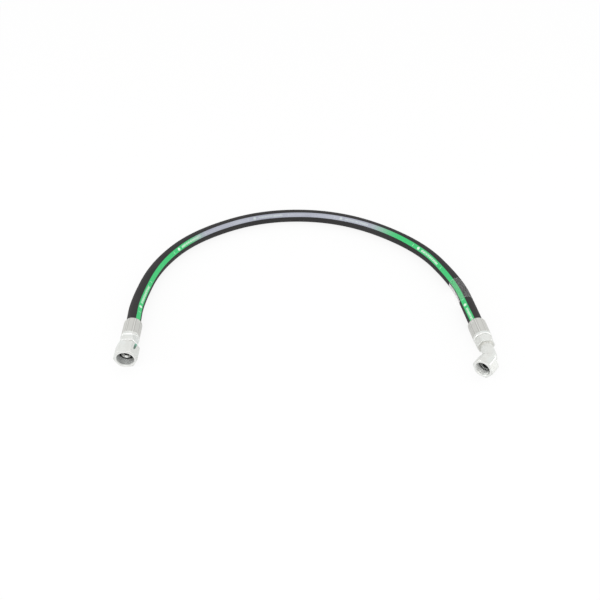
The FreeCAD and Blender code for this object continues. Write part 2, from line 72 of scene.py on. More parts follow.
# %% [markdown]
# The camera stands 0.78 m above the table and looks down at 42 degrees, as the photographer did.
# Its 45.6 mm lens on a 36 mm sensor makes the hose narrower towards the back of its arc, by as much
# as the photograph does.

# %% The camera
CAMERA_PLACE, CAMERA_TILT, CAMERA_LENS = (-0.0086, -0.7525, 0.7809), math.radians(48.0), 45.6


def add_object(name, data):
    """Puts an object with this data into the scene."""
    made = bpy.data.objects.new(name, data)
    bpy.context.scene.collection.objects.link(made)
    return made


camera_data = bpy.data.cameras.new("camera")
camera_data.lens = CAMERA_LENS
camera = add_object("camera", camera_data)
camera.location = CAMERA_PLACE
camera.rotation_euler = (CAMERA_TILT, 0.0, 0.0)
bpy.context.scene.camera = camera
print("camera at", CAMERA_PLACE, "with a lens of", CAMERA_LENS, "mm")

# %% [markdown]
# A stiff hose lies in one smooth sweep. Its axis could be a chain of arcs, but arcs show where they
# meet, and a NURBS curve of order 3 has no kink. The hose leaves both ferrules in line with them
# and comes down to the table. Blender turns the bare curve into points that every layer follows.

# %% The hose's line
HOSE_ROUTE = [
    (-0.2509, 0.0230, 0.0150), (-0.2509, 0.0430, 0.0150), (-0.2536, 0.0930, 0.0138),
    (-0.2371, 0.1860, 0.0112), (-0.1811, 0.2660, 0.0104), (-0.0681, 0.3240, 0.0104),
    (0.0681, 0.3173, 0.0104), (0.1858, 0.2390, 0.0108), (0.2348, 0.1419, 0.0124),
    (0.2450, 0.0753, 0.0135), (0.2515, 0.0247, 0.0135),
]
LINE_STEPS = 22


def line_points(control_points):
    """The points of a smooth NURBS curve through its control polygon."""
    data = bpy.data.curves.new("hose_line", "CURVE")
    data.dimensions = "3D"
    data.resolution_u = LINE_STEPS
    spline = data.splines.new("NURBS")
    spline.points.add(len(control_points) - 1)
    for spot, point in zip(spline.points, control_points):
        spot.co = (*point, 1.0)
    spline.order_u = 3
    spline.use_endpoint_u = True
    curve = bpy.data.objects.new("hose_line", data)
    mesh = bpy.data.meshes.new_from_object(curve)
    points = [vertex.co.copy() for vertex in mesh.vertices]
    bpy.data.objects.remove(curve)
    return points


def lengths_along(points):
    """How far along the row of points each one lies."""
    passed = [0.0]
    for before, after in zip(points, points[1:]):
        passed.append(passed[-1] + (after - before).length)
    return passed


hose_line = line_points(HOSE_ROUTE)
hose_along = lengths_along(hose_line)
HOSE_LENGTH = hose_along[-1]
print("hose line:", len(hose_line), "points,", round(HOSE_LENGTH, 4), "m")

# %% [markdown]
# Everything on the hose is placed by three directions at each point of its line: along it, towards
# the arc's inside, and up. An angle round the hose starts at the top and grows towards the inside.

# %% Directions along the hose
UP = Vector((0.0, 0.0, 1.0))


def directions(points):
    """Each point with its directions towards the arc's inside and the top."""
    found = []
    for before, point, after in zip(points[:1] + points, points, points[1:] + points[-1:]):
        tangent = (after - before).normalized()
        inside = tangent.cross(UP).normalized()
        found.append((point, inside, inside.cross(tangent)))
    return found


hose_frames = directions(hose_line)


def hose_frame(along):
    """The same at any distance along the hose."""
    index = bisect_left(hose_along, along, 1, len(hose_along) - 1)
    share = (along - hose_along[index - 1]) / (hose_along[index] - hose_along[index - 1])
    before, after = hose_frames[index - 1], hose_frames[index]
    point, inside, top = (first.lerp(second, share) for first, second in zip(before, after))
    return point, inside.normalized(), top.normalized()


def round_point(spot, radius, angle):
    """A point at a radius and an angle round one spot of a line."""
    point, inside, top = spot
    return point + (top * math.cos(angle) + inside * math.sin(angle)) * radius


print("directions at the middle:", rounded(hose_frame(HOSE_LENGTH / 2), 2))

# %% [markdown]
# Nearly every piece is a sheet of quads bent round something, so one function builds them all. It
# joins rings of points and writes a UV map in metres, along the piece and round it, so a material
# can draw a weave or a print at its true size. Primitive cylinders would need that added later.

# %% A sheet of quads
SMOOTH_ANGLE = math.radians(38.0)
HOSE_BODY = "hose_and_fittings"


def quad_sheet(name, rings, along, around, loop=True, marks=None):
    """A mesh through rings of points, facing outwards. A loop joins the last ring to the first.
    marks holds named rows of numbers, one for each ring, for a material to read."""
    count = len(rings[0])
    faces, corners = [], []
    for i in range(len(rings) if loop else len(rings) - 1):
        this, following = i * count, (i + 1) % len(rings) * count
        for j in range(count):
            beside = (j + 1) % count
            faces.append((this + j, following + j, following + beside, this + beside))
            near, far, low, high = along[i], along[i + 1], around[j], around[j + 1]
            corners += [(near, low), (far, low), (far, high), (near, high)]
    mesh = bpy.data.meshes.new(name)
    mesh.from_pydata([point for ring in rings for point in ring], [], faces)
    layer = mesh.uv_layers.new(name="UVMap")
    for spot, corner in zip(layer.data, corners):
        spot.uv = corner
    for mark, shares in (marks or {}).items():
        values = mesh.attributes.new(mark, "FLOAT", "POINT")
        values.data.foreach_set("value", [share for share in shares for _ in range(count)])
    mesh.shade_smooth()
    mesh.set_sharp_from_angle(angle=SMOOTH_ANGLE)
    mesh.update()
    if sum(face.center.dot(face.normal) * face.area for face in mesh.polygons) < 0:
        mesh.flip_normals()
    return add_object(name, mesh)


def on_body(piece, node, body=HOSE_BODY):
    """Gives a piece its body, hides the CAD node it stands for, and prints its size."""
    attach(piece, body)
    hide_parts(node)
    size = [round(value / MM, 1) for value in piece.dimensions]
    print(f"{piece.name}: {len(piece.data.polygons)} faces, {size} mm")
    return piece


print("pieces ride on", HOSE_BODY, "and on the two nuts' bodies")

# %% [markdown]
# From the bore outwards the hose is a rubber tube, a wire braid, a thin rubber layer, a second
# braid and a rubber cover. Each layer runs along the outside and back along the inside, so that it
# has a real wall.

# %% The layers of the hose
HOSE_LAYERS = [
    ("hose_tube", "inner_tube", "tube_rubber", 6.35, 7.65, 32),
    ("hose_inner_braid", "inner_wire_braid", "braid_wire", 7.65, 8.25, 32),
    ("hose_interlayer", "interlayer", "tube_rubber", 8.25, 8.5, 32),
    ("hose_outer_braid", "outer_wire_braid", "braid_wire", 8.5, 9.1, 32),
    ("hose_cover", "outer_cover", "cover_rubber", 9.1, 10.4, 72),
]
COVER_RADIUS = 10.4 * MM


def even_turn(count):
    """Angles evenly round a full turn."""
    return [math.tau * k / count for k in range(count)]


def tube_along(name, spots, along, inner, outer, segments):
    """A tube with a wall, out along its outside and back along its inside."""
    angles, end = even_turn(segments), along[-1]
    rings = [[round_point(spot, outer, angle) for angle in angles] for spot in spots]
    rings += [[round_point(spot, inner, angle) for angle in angles] for spot in reversed(spots)]
    there_and_back = [*along, *(2 * end - value for value in reversed(along)), 2 * end]
    return quad_sheet(name, rings, there_and_back, [outer * angle for angle in (*angles, math.tau)])


hose_pieces = {}
for name, node, slot, inner_mm, outer_mm, segments in HOSE_LAYERS:
    layer = tube_along(name, hose_frames, hose_along, inner_mm * MM, outer_mm * MM, segments)
    hose_pieces[name] = on_body(layer, node)

# %% [markdown]
# The layline is a strip of printed tape moulded into the cover. It twists a little, as on every
# hose that has been bent, so its angle from the top follows a short table. The cover's material
# could paint it, but a strip of its own keeps its edges sharp.

# %% The layline
LAYLINE_WIDTH, LAYLINE_PROUD = 7.8 * MM, 0.12 * MM
LAYLINE_HALF_TURN = LAYLINE_WIDTH / 2 / COVER_RADIUS
LAYLINE_SPAN = (0.0232, 0.8575)
LAYLINE_LEAN = [
    (0.02, 50.0), (0.12, 54.5), (0.20, 49.5), (0.30, 45.5), (0.40, 46.0), (0.50, 43.0),
    (0.60, 38.5), (0.68, 42.5), (0.78, 47.5), (0.82, 45.5), (0.86, 41.0),
]
LAYLINE_ROWS, LAYLINE_COLUMNS = 260, 12


def layline_lean(along):
    """The layline's angle from the top, eased between the places of its table."""
    index = bisect_left(LAYLINE_LEAN, (along,))
    (start, first), (end, second) = LAYLINE_LEAN[index - 1 : index + 1]
    share = (1 - math.cos(math.pi * (along - start) / (end - start))) / 2
    return math.radians(first + (second - first) * share)


def even_places(span, count):
    """The places that divide a span into equal steps."""
    start, end = span
    return [start + (end - start) * k / count for k in range(count + 1)]


def make_layline():
    """A thin closed strip: its face from edge to edge, then back along the cover."""
    places = even_places(LAYLINE_SPAN, LAYLINE_ROWS)
    shares = even_places((-1, 1), LAYLINE_COLUMNS)
    rings = []
    for along in places:
        spot, lean = hose_frame(along), layline_lean(along)
        angles = [lean + LAYLINE_HALF_TURN * share for share in shares]
        face = [round_point(spot, COVER_RADIUS + LAYLINE_PROUD, angle) for angle in angles]
        base = [round_point(spot, COVER_RADIUS - LAYLINE_PROUD, angle) for angle in angles]
        rings.append(face + base[::-1])
    across = [share * LAYLINE_WIDTH / 2 for share in shares]
    return quad_sheet("hose_layline", rings, places, across + across[::-1] + across[:1], loop=False)


hose_layline = on_body(make_layline(), "layline_tape")

# %% [markdown]
# Near the elbow a film label is wrapped once round the hose. It rides over the layline, so it
# stands a little further out there. Its ends are cut square.

# %% The wrapped label
LABEL_SPAN = (0.7632, 0.8078)
LABEL_THICKNESS, LABEL_GAP, LABEL_RAMP = 0.15 * MM, 0.03 * MM, 0.12
LABEL_ROWS, LABEL_SEGMENTS = 16, 96


def clamped(value):
    """A value held between 0 and 1."""
    return min(max(value, 0.0), 1.0)


def make_label():
    """A thin sleeve that lies on the cover and steps over the layline."""
    places = even_places(LABEL_SPAN, LABEL_ROWS)
    angles = even_turn(LABEL_SEGMENTS)
    start, end = LABEL_SPAN

    def ring(along, lift):
        spot, lean = hose_frame(along), layline_lean(along)
        points = []
        for angle in angles:
            off = abs((angle - lean + math.pi) % math.tau - math.pi) - LAYLINE_HALF_TURN
            over = clamped(1.0 - off / LABEL_RAMP)
            radius = COVER_RADIUS + LABEL_GAP + over * LAYLINE_PROUD + lift
            points.append(round_point(spot, radius, angle))
        return points

    rings = [ring(along, LABEL_THICKNESS) for along in places]
    rings += [ring(along, 0.0) for along in reversed(places)]
    along = [*places, *(2 * end - place for place in reversed(places)), start]
    around = [COVER_RADIUS * angle for angle in (*angles, math.tau)]
    return quad_sheet("hose_label", rings, along, around)


hose_label = on_body(make_label(), "marker_label")

# %% [markdown]
# The hose is a stiff cord of known length that leaves one ferrule and goes back into the other.
# Its own end is inside the left ferrule, 24 mm from the mouth. Here the pieces on it are gathered
# into a list, and its line's points listed.

# %% The pieces on the hose
on_the_hose = [piece for name, piece in hose_pieces.items() if name != "hose_cover"]
[tuple(point) for point in hose_line]
on_the_hose + [hose_layline, hose_label]

# %% [markdown]
# The fittings are turned pieces: a lathe gives them their outline and a mill their flats. Each is
# an outline of (place along the axis, radius) pairs, carried round the axis. A soft minimum holds
# each radius down to the flats and so rounds the edges as wear does, with no bevel modifier.

# %% Turned outlines
EASE, EASE_SHARE, LONGEST_STEP, CROWDING = 0.18, 0.42, 0.9, 1.7


def eased(outline):
    """A closed outline whose corners are cut to small arcs and whose long runs are divided."""
    corners = [Vector(point) for point in outline]
    points = []
    for before, corner, after in zip(corners[-1:] + corners, corners, corners[1:] + corners[:1]):
        into, out = before - corner, after - corner
        reach_out = out.normalized() * min(EASE, EASE_SHARE * out.length)
        first = corner + into.normalized() * min(EASE, EASE_SHARE * into.length)
        last = corner + reach_out
        points += [first, (first + 2 * corner + last) / 4, last]
        run = after - reach_out - last
        steps = int(run.length / LONGEST_STEP)
        points += [last + run * i / (steps + 1) for i in range(1, steps + 1)]
    return points


def soft_least(first, second, softness):
    """The smaller of two lengths, rounded off where they are nearly equal."""
    near = max(softness - abs(first - second), 0.0) / softness
    return min(first, second) - near * near * softness / 4


def sector_angles(sides, spread):
    """Angles round the axis, closer together near the corners between the flats."""
    spots = [k / spread for k in range(-spread, spread)]
    shares = [math.copysign(1 - (1 - abs(spot)) ** CROWDING, spot) / 2 for spot in spots]
    turns = [side + share for side in range(sides) for share in shares]
    return [math.pi / 2 + math.tau / sides * turn for turn in turns]


hexagon_angles, octagon_angles = sector_angles(6, 9), sector_angles(8, 6)


def off_flat(angle, sides):
    """The angle from the middle of the nearest flat. One flat faces along the local Y axis."""
    turn = math.tau / sides
    return (angle - math.pi / 2 + turn / 2) % turn - turn / 2


def flat_radius(angle, flat, sides):
    """How far out a flat-sided bar's surface is at an angle."""
    return flat / math.cos(off_flat(angle, sides))


def turned_piece(
    name, slot, node, place, outline, shaped=None, angles=hexagon_angles, body=HOSE_BODY, **marks
):
    """A piece turned about its frame's Z axis. shaped(along, radius, angle) gives the final radius.
    Each mark is a function of (along, radius) that gives 0 to 1."""
    points = eased(outline)
    rings = []
    for along, radius in points:
        ring = []
        for angle in angles:
            out = shaped(along, radius, angle) if shaped else radius
            ring.append(place @ Vector((out * math.cos(angle), out * math.sin(angle), along)))
        rings.append(ring)
    passed = [length * MM for length in lengths_along(points + points[:1])]
    widest = max(radius for _, radius in points) * MM
    around = [widest * (angle - angles[0]) for angle in angles] + [widest * math.tau]
    shares = {mark: [share(*point) for point in points] for mark, share in marks.items()}
    piece = quad_sheet(name, rings, passed, around, marks=shares)
    weighted = piece.modifiers.new("even_flats", "WEIGHTED_NORMAL")
    weighted.keep_sharp = True
    weighted.weight = 60
    return on_body(piece, node, body)


print(len(hexagon_angles), "angles round a hexagon,", len(octagon_angles), "round a ferrule")

# %% [markdown]
# Each fitting has its own frame: Z runs out of the hose and X towards the inside of the arc. Its
# outlines are then written as on a workshop drawing. What sits past the elbow's bend of 45 degrees
# has a third frame.

# %% Frames of the fittings


def local_frame(origin, outward, sideways):
    """A matrix from a fitting's millimetres to the scene."""
    upward = outward.cross(sideways)
    rows = [(sideways[k] * MM, upward[k] * MM, outward[k] * MM, origin[k]) for k in range(3)]
    return Matrix([*rows, (0, 0, 0, 1)])


def moved_out(place, along):
    """The same frame, moved out along its axis by some millimetres."""
    return place @ Matrix.Translation((0.0, 0.0, along))


left_cut, right_cut = Vector(HOSE_ROUTE[0]), Vector(HOSE_ROUTE[-1])
left_out = (left_cut - Vector(HOSE_ROUTE[1])).normalized()
right_out = (right_cut - Vector(HOSE_ROUTE[-2])).normalized()
right_inward = right_out.cross(UP)
left_place = local_frame(left_cut, left_out, UP.cross(left_out))
right_place = local_frame(right_cut, right_out, right_inward)
print("the left and the right fitting point along", rounded((left_out, right_out)))

# %% [markdown]
# A crimped ferrule is a steel sleeve that eight dies press onto the hose. They leave eight flat
# lands with a faint raised line between neighbours. Inside, teeth bite into the cover and a lip
# locks into the insert's groove.

# %% Ferrules
GRIP, FERRULE_END = 24.0, 4.5
FERRULE_RADIUS, FERRULE_BORE, MOUTH_RADIUS, LEAD = 13.1, 10.4, 11.7, 3.6
DIE_FLAT, DIE_SIDES, DIE_FADE, DIE_END = 12.65, 8, 1.2, 1.5
DIE_LINE, DIE_LINE_TURN, LIP, LOCK_RADIUS = 0.12, 0.05, 2.9, 7.4
TEETH, FIRST_TOOTH, TOOTH_PITCH, TOOTH_DEPTH = 4, 1.6, 5.2, 0.8


def ferrule_outline():
    """From the mouth along the outside to the fitting's end and back over the teeth."""
    back, end = -GRIP, FERRULE_END
    outline = [
        (back, MOUTH_RADIUS), (back + 0.45, MOUTH_RADIUS + 0.55),
        (back + 0.3 * LEAD, MOUTH_RADIUS + 0.94), (back + 0.62 * LEAD, FERRULE_RADIUS - 0.12),
        (back + LEAD, FERRULE_RADIUS), (end - 0.9, FERRULE_RADIUS),
        (end - 0.25, FERRULE_RADIUS - 0.35), (end, FERRULE_RADIUS - 1.0),
        (end, LOCK_RADIUS), (end - LIP, LOCK_RADIUS), (end - LIP, FERRULE_BORE),
    ]
    hollow = FERRULE_BORE + TOOTH_DEPTH
    for k in reversed(range(TEETH)):
        start = back + k * TOOTH_PITCH + FIRST_TOOTH
        gap, stop = start + 0.45 * TOOTH_PITCH, start + 0.9 * TOOTH_PITCH
        outline += [(stop, FERRULE_BORE), (stop - 0.3, hollow), (gap, hollow), (gap, FERRULE_BORE)]
    return outline + [(back + 1.2, FERRULE_BORE), (back, 11.0)]


def crimped(along, radius, angle):
    """The dies' flats and the faint line between two dies, faded out towards both ends."""
    if radius < FERRULE_RADIUS - 1.1:
        return radius
    shown = clamped((along + GRIP - LEAD) / DIE_FADE)
    shown *= clamped((FERRULE_END - DIE_END - along) / DIE_FADE)
    pressed = soft_least(radius, flat_radius(angle, DIE_FLAT, DIE_SIDES), 0.12)
    off_line = off_flat(angle + math.pi / DIE_SIDES, DIE_SIDES)
    line = DIE_LINE * math.exp(-((off_line / DIE_LINE_TURN) ** 2))
    return radius + (pressed + line - radius) * shown


ferrules = [
    turned_piece(name, "ferrule_steel", node, place, ferrule_outline(), crimped, octagon_angles)
    for name, node, place in (
        ("ferrule_left", "left_ferrule", left_place),
        ("ferrule_right", "right_ferrule", right_place),
    )
]

# %% [markdown]
# An insert is one turned piece: a barbed tail for the hose's tube, a collar behind the ferrule's
# lip, a shoulder against the ferrule, and a hexagon for the spanner. The left one goes on as a
# shank with a 24 degree cone nose, and the right one ends in a socket for the elbow. A mark says
# what is turned bright and gets a painted highlight; before the left nut it also paints light over
# the shade of the gap.

# %% What both inserts share
TAIL, BORE = 21.0, 4.5
HOSE_BORE, BARB_HEIGHT, BARB_PITCH, BARBS = 6.35, 0.45, 3.8, 5
HEX_FLAT, HEX_CORNER, HEX_FACE = 12.0, 13.86, 11.7
COLLAR, COLLAR_END = 8.8, 1.4
SHOULDER, SHOULDER_EDGE, SHOULDER_ROUND = 13.4, 0.35, 1.3
CORNER_WEAR, HEX_SOFTNESS, NUT_SOFTNESS = 0.3, (0.25, 0.12), (0.3, 0.15)
CHAMFER_SLOPE, NOSE_SLOPE = math.tan(math.radians(30.0)), math.tan(math.radians(12.0))
BRIGHT_FROM, NEAR = 10.6, 0.01


def tail_outline(hex_start, hex_end):
    """The outside of an insert from the tip of its tail to the front of its hexagon."""
    root = HOSE_BORE - BARB_HEIGHT
    outline = [(-TAIL, root - 0.6)]
    for k in range(BARBS):
        start = -TAIL + k * BARB_PITCH + 0.8
        crest, land = start + 0.55 * BARB_PITCH, start + 0.85 * BARB_PITCH
        outline += [(start, root), (crest, HOSE_BORE), (land, HOSE_BORE), (land, root)]
    return outline + [
        (0.0, root), (0.0, COLLAR), (COLLAR_END, COLLAR),
        (COLLAR_END, LOCK_RADIUS), (FERRULE_END, LOCK_RADIUS),
        (FERRULE_END, SHOULDER - SHOULDER_EDGE), (FERRULE_END + SHOULDER_EDGE, SHOULDER),
        (hex_start - SHOULDER_ROUND, SHOULDER),
        (hex_start - 0.4 * SHOULDER_ROUND, SHOULDER - 0.2 * SHOULDER_ROUND),
        (hex_start - 0.02, SHOULDER - 0.8 * SHOULDER_ROUND), (hex_start, HEX_CORNER),
        (hex_end - (HEX_CORNER - HEX_FACE) * CHAMFER_SLOPE, HEX_CORNER), (hex_end, HEX_FACE),
    ]


def wire_groove(start, end, shank, root):
    """The groove for a thrust wire, with sloping walls."""
    return [(start, shank), (start + 0.3, root), (end - 0.3, root), (end, shank)]


def nose_outline(front, shank, ring_place, length, nose, seat, cord, sink):
    """The cone nose and its O-ring groove, from the shank round to the bore's countersink."""
    back, middle, half = front - length, front - ring_place, 0.62 * cord

    def cone(along):
        return nose + (front - along) * NOSE_SLOPE

    return [
        (back - 0.8, shank), (back, cone(back)),
        (middle - half, cone(middle - half)), (middle - half, seat),
        (middle + half, seat), (middle + half, cone(middle + half)),
        (front - 0.6, cone(front - 0.6)), (front, nose - 0.6),
        (front, BORE + sink), (front - 1.2 * sink, BORE),
    ]


def worn_hexagon(radius, angle, flat, corner, softness):
    """A radius held softly down to a hexagon with worn corners."""
    at_corner, at_chamfer = softness
    bar = soft_least(flat_radius(angle, flat, 6), corner - CORNER_WEAR, at_corner)
    return soft_least(radius, bar, at_chamfer)


def hexagonal(start, end):
    """Holds an insert down to its hexagon between two places along the axis."""

    def shaped(along, radius, angle):
        if radius < HEX_FLAT - 0.5 or not start - NEAR <= along <= end + NEAR:
            return radius
        return worn_hexagon(radius, angle, HEX_FLAT, HEX_CORNER, HEX_SOFTNESS)

    return shaped


def polish_and_highlight_spans(*spans):
    """The mark for parts of an insert's outside that are turned bright and get painted light."""

    def share(along, radius):
        return float(radius > BRIGHT_FROM and any(start < along < end for start, end in spans))

    return share


print("both hexagons are", 2 * HEX_FLAT, "mm across their flats")

# %% The left insert
LEFT_HEX, LEFT_SHANK, LEFT_NUT_BACK, LEFT_NUT_LENGTH = (9.5, 20.8), 10.8, 24.2, 24.0
LEFT_NOSE_FRONT, LEFT_RING_PLACE = LEFT_NUT_BACK + LEFT_NUT_LENGTH - 10.0, 3.0

left_outline = [
    *tail_outline(*LEFT_HEX),
    (LEFT_HEX[1], LEFT_SHANK),
    *wire_groove(LEFT_NUT_BACK + 2.2, LEFT_NUT_BACK + 4.6, LEFT_SHANK, 10.15),
    *nose_outline(
        LEFT_NOSE_FRONT, LEFT_SHANK, LEFT_RING_PLACE,
        length=8.0, nose=7.4, seat=7.1, cord=2.6, sink=2.0,
    ),
    (-TAIL, BORE),
]
# Painted highlight on the hexagon's back edge; painted light over the gap's shade up to the nut.
back_edge = (LEFT_HEX[0] - NEAR, LEFT_HEX[0] + 1.7)
front_edge_and_neck = (LEFT_HEX[1] - 1.3, LEFT_NUT_BACK + 1.0)
insert_left = turned_piece(
    "insert_left", "plated_steel", "left_insert", left_place, left_outline,
    hexagonal(*LEFT_HEX), polish=polish_and_highlight_spans(back_edge, front_edge_and_neck),
)

# %% The right insert
RIGHT_HEX, SOCKET, ELBOW_RADIUS, ELBOW_FIT = (9.4, 23.0), 5.0, 9.0, 0.02

right_outline = tail_outline(*RIGHT_HEX) + [
    (RIGHT_HEX[1], ELBOW_RADIUS + ELBOW_FIT),
    (RIGHT_HEX[1] - SOCKET, ELBOW_RADIUS + ELBOW_FIT),
    (RIGHT_HEX[1] - SOCKET, BORE), (-TAIL, BORE),
]
# A painted highlight on the ring at the shoulder's edge.
shoulder_edge = (RIGHT_HEX[0] - SHOULDER_ROUND - 0.1, RIGHT_HEX[0] - NEAR)
insert_right = turned_piece(
    "insert_right", "plated_steel", "right_insert", right_place, right_outline,
    hexagonal(*RIGHT_HEX), polish=polish_and_highlight_spans(shoulder_edge),
)

# %% [markdown]
# The elbow is a short steel tube bent on a mandrel, so its wall stays round through the bend. It
# follows a straight, an arc of 14 mm radius and a short straight. A bead of braze, run round by
# hand, closes the joint with the hexagon. The cone nose is a turned nipple at the other end.

# %% The elbow tube
ELBOW_NECK, BEND_RADIUS, BEND_TURN, ELBOW_TAIL = 17.8, 14.0, math.radians(45.0), 3.0
ELBOW_BORE, ELBOW_SEGMENTS = 6.0, 64
NECK_STEPS, BEND_STEPS, TAIL_STEPS = 12, 24, 3

elbow_start = right_cut + right_out * (RIGHT_HEX[1] - SOCKET) * MM
elbow_out = right_out * math.cos(BEND_TURN) + right_inward * math.sin(BEND_TURN)
elbow_side = right_inward * math.cos(BEND_TURN) - right_out * math.sin(BEND_TURN)
neck_length = SOCKET + ELBOW_NECK


def elbow_point(turn):
    """A point on the bend's axis after part of its turn."""
    forward = neck_length + BEND_RADIUS * math.sin(turn)
    aside = BEND_RADIUS * (1 - math.cos(turn))
    return elbow_start + (right_out * forward + right_inward * aside) * MM


bend_end = elbow_point(BEND_TURN)
elbow_place = local_frame(bend_end, elbow_out, elbow_side)
neck = [elbow_start + right_out * neck_length * MM * k / NECK_STEPS for k in range(NECK_STEPS)]
bend = [elbow_point(BEND_TURN * k / BEND_STEPS) for k in range(BEND_STEPS + 1)]
tail = [bend_end + elbow_out * ELBOW_TAIL * MM * (k + 1) / TAIL_STEPS for k in range(TAIL_STEPS)]
elbow_line = neck + bend + tail
line_frames, line_along = directions(elbow_line), lengths_along(elbow_line)
inner, outer = ELBOW_BORE * MM, ELBOW_RADIUS * MM
elbow_right = tube_along("elbow_right", line_frames, line_along, inner, outer, ELBOW_SEGMENTS)
on_body(elbow_right, "right_elbow_tube")

# %% The braze bead
BRAZE_LEG = 1.8


def beaded(along, radius, angle):
    """Lets the bead swell and thin as it runs round, where it stands clear of the tube."""
    proud = radius - ELBOW_RADIUS
    ripple = 0.10 * math.sin(9 * angle + 0.7) + 0.07 * math.sin(23 * angle)
    return radius + min(proud, 1.0) * ripple if proud > 0.1 else radius


bead_outline = [
    (NEAR, ELBOW_RADIUS), (NEAR, ELBOW_RADIUS + BRAZE_LEG),
    (0.22, ELBOW_RADIUS + 0.70 * BRAZE_LEG),
    (0.45 * BRAZE_LEG, ELBOW_RADIUS + 0.36 * BRAZE_LEG),
    (BRAZE_LEG, ELBOW_RADIUS),
]
bead_place = moved_out(right_place, RIGHT_HEX[1])
braze_bead = turned_piece(
    "braze_bead", "braze", "right_braze_fillet", bead_place, bead_outline, beaded
)

# %% The right cone nipple
RIGHT_SHANK, RIGHT_NUT_BACK, RIGHT_NUT_LENGTH = 9.8, 0.4, 20.0
RIGHT_NOSE_FRONT, RIGHT_RING_PLACE = RIGHT_NUT_BACK + RIGHT_NUT_LENGTH - 8.0, 2.8

nipple_outline = [
    (0.0, ELBOW_BORE), (ELBOW_TAIL, ELBOW_BORE), (ELBOW_TAIL, RIGHT_SHANK),
    *wire_groove(RIGHT_NUT_BACK + 3.2, RIGHT_NUT_BACK + 5.2, RIGHT_SHANK, 9.3),
    *nose_outline(
        RIGHT_NOSE_FRONT, RIGHT_SHANK, RIGHT_RING_PLACE,
        length=5.2, nose=6.7, seat=6.2, cord=2.0, sink=0.7,
    ),
    (0.0, BORE),
]


def nose_shade(along, radius):
    """The painted shade on the nose, which lies in the dark of the nut."""
    return 0.85 * float(along > RIGHT_NOSE_FRONT - 4.0)


nipple_right = turned_piece(
    "nipple_right", "plated_steel", "right_cone_nipple", elbow_place, nipple_outline, recess=nose_shade
)

# %% [markdown]
# The swivel nuts are what a spanner turns on the machine's port. A nut is a hexagon bar, chamfered
# on a lathe so that its corners end in curves, with a thread cut inside. The thread is real
# geometry: the wall moves in and out as a V that climbs 1.5 mm in each turn. Little light gets in,
# so a mark darkens the plating there.

# %% Swivel nuts
THREAD_PITCH, THREAD_DEPTH, THREAD_ROWS = 1.5, 0.8, 9
# The first number is the strength of a painted highlight on each nut's rim.
RIM_HIGHLIGHT, RIM_WIDTH = 0.6, 0.3


def nut_outline(length, corner, back, front, mouth, thread, bore, wire_place, wire, thread_start):
    """From the back face over the flats to the mouth, then in through the thread to the groove."""
    relief, groove = thread + 1.0, wire + 0.3
    thread_end = length - (mouth - thread)
    thread_rows = int((thread_end - thread_start) / THREAD_PITCH * THREAD_ROWS)
    return [
        (0.0, back), ((corner - back) * CHAMFER_SLOPE, corner),
        (length - (corner - front) * CHAMFER_SLOPE, corner), (length, front), (length, mouth),
        *((along, thread) for along in even_places((thread_end, thread_start), thread_rows)),
        (thread_start - 1.0, relief), (wire_place + wire + 2.4, relief),
        (wire_place + wire + 1.4, bore), (wire_place + groove, bore),
        (wire_place + 0.7 * groove, bore + 0.6 * groove),
        (wire_place - 0.7 * groove, bore + 0.6 * groove),
        (wire_place - groove, bore), (0.0, bore),
    ]


def nut_shape(flat, corner, thread, start, end):
    """The hexagon outside, and inside the thread between two places along the axis."""

    def shaped(along, radius, angle):
        if radius > flat - 1.6:
            return worn_hexagon(radius, angle, flat, corner, NUT_SOFTNESS)
        if start < along < end and abs(radius - thread) < 0.3:
            turn = (along / THREAD_PITCH - angle / math.tau) % 1.0
            fade = min((along - start) / 0.8, (end - along) / 0.5, 1.0)
            return radius + THREAD_DEPTH * fade * (1 - abs(2 * turn - 1))
        return radius

    return shaped


def make_nut(name, body, node, place, length, flat, dark_from, dark, **sizes):
    """One swivel nut. Its inside gets painted shade, as dark as dark says, from dark_from
    millimetres inwards.
    """
    corner = flat * 2 / math.sqrt(3)
    mouth, thread = sizes["mouth"], sizes["thread"]
    shaped = nut_shape(flat, corner, thread, sizes["thread_start"], length - (mouth - thread))

    # Painted shade inside the nut, growing darker from the mouth inwards.
    def shaded_inside(along, radius):
        inside = radius < mouth + NEAR and along > 0.5
        return dark * clamped((length - along) / dark_from) if inside else 0.0

    # A painted highlight round the rim of the mouth.
    def rim(along, radius):
        return RIM_HIGHLIGHT * float(along > length - NEAR and radius > mouth - RIM_WIDTH)

    outline = nut_outline(length, corner, **sizes)
    return turned_piece(
        name, "plated_steel", node, place, outline, shaped, body=body, recess=shaded_inside, polish=rim
    )


nut_left = make_nut(
    "nut_left", "left_nut", "left_swivel_nut", moved_out(left_place, LEFT_NUT_BACK),
    length=LEFT_NUT_LENGTH, flat=15.0, back=13.5, front=14.5, mouth=12.8, bore=11.1,
    thread=11.2, thread_start=11.8, wire=1.0, wire_place=3.4, dark_from=1.6, dark=0.76,
)
nut_right = make_nut(
    "nut_right", "right_nut", "right_swivel_nut", moved_out(elbow_place, RIGHT_NUT_BACK),
    length=RIGHT_NUT_LENGTH, flat=13.5, back=12.2, front=13.0, mouth=11.2, bore=10.1,
    thread=10.2, thread_start=9.8, wire=0.8, wire_place=4.2, dark_from=8.0, dark=0.52,
)

# %% [markdown]
# An O-ring of black rubber in each cone nose seals against the machine's cone. It has a round
# section, with the faint parting line that a mould leaves round its outside.

# %% O-rings
RING_POINTS, MOULD_LINE = 20, 0.03


def make_o_ring(name, node, place, middle, radius, cord):
    """A ring of round section whose outside carries a faint mould line."""
    outline = []
    for k, turn in enumerate(even_turn(RING_POINTS)):
        out = cord + (MOULD_LINE if k == 0 else 0.0)
        outline.append((middle + cord * math.sin(turn), radius + out * math.cos(turn)))
    return turned_piece(name, "seal_rubber", node, place, outline)


